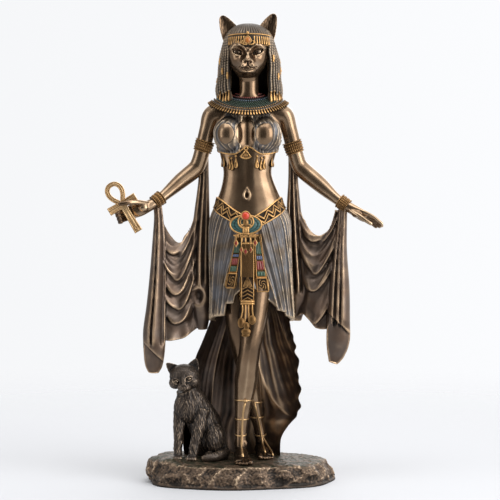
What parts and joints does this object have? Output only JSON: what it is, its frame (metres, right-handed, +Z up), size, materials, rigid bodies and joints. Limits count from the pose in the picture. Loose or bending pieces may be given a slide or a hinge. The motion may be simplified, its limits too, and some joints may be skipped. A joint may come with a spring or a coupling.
{
  "type": "cat goddess figurine",
  "caption": "Standing cat-headed Egyptian goddess with a shawl, an ankh and a sitting cat on a rocky base, in antique bronze finish.",
  "frame": {"origin": "centre of the base's flat underside, on the surface it stands on", "axes": "+Z up, the figure faces -Y, +X towards its open hand, at the right of a viewer in front"},
  "size_m": [0.1537, 0.069, 0.2601],
  "materials": {
    "bronze_resin": "cold-cast bronze resin, dark patina in the hollows, rubbed bright on the ridges, with hand-painted gold, red, green and blue",
    "gold_paint": "satin antique gold paint over resin, dark in the grooves"
  },
  "bodies": {
    "root": {"figurine": "bronze_resin", "ankh": "gold_paint"}
  },
  "joints": []
}
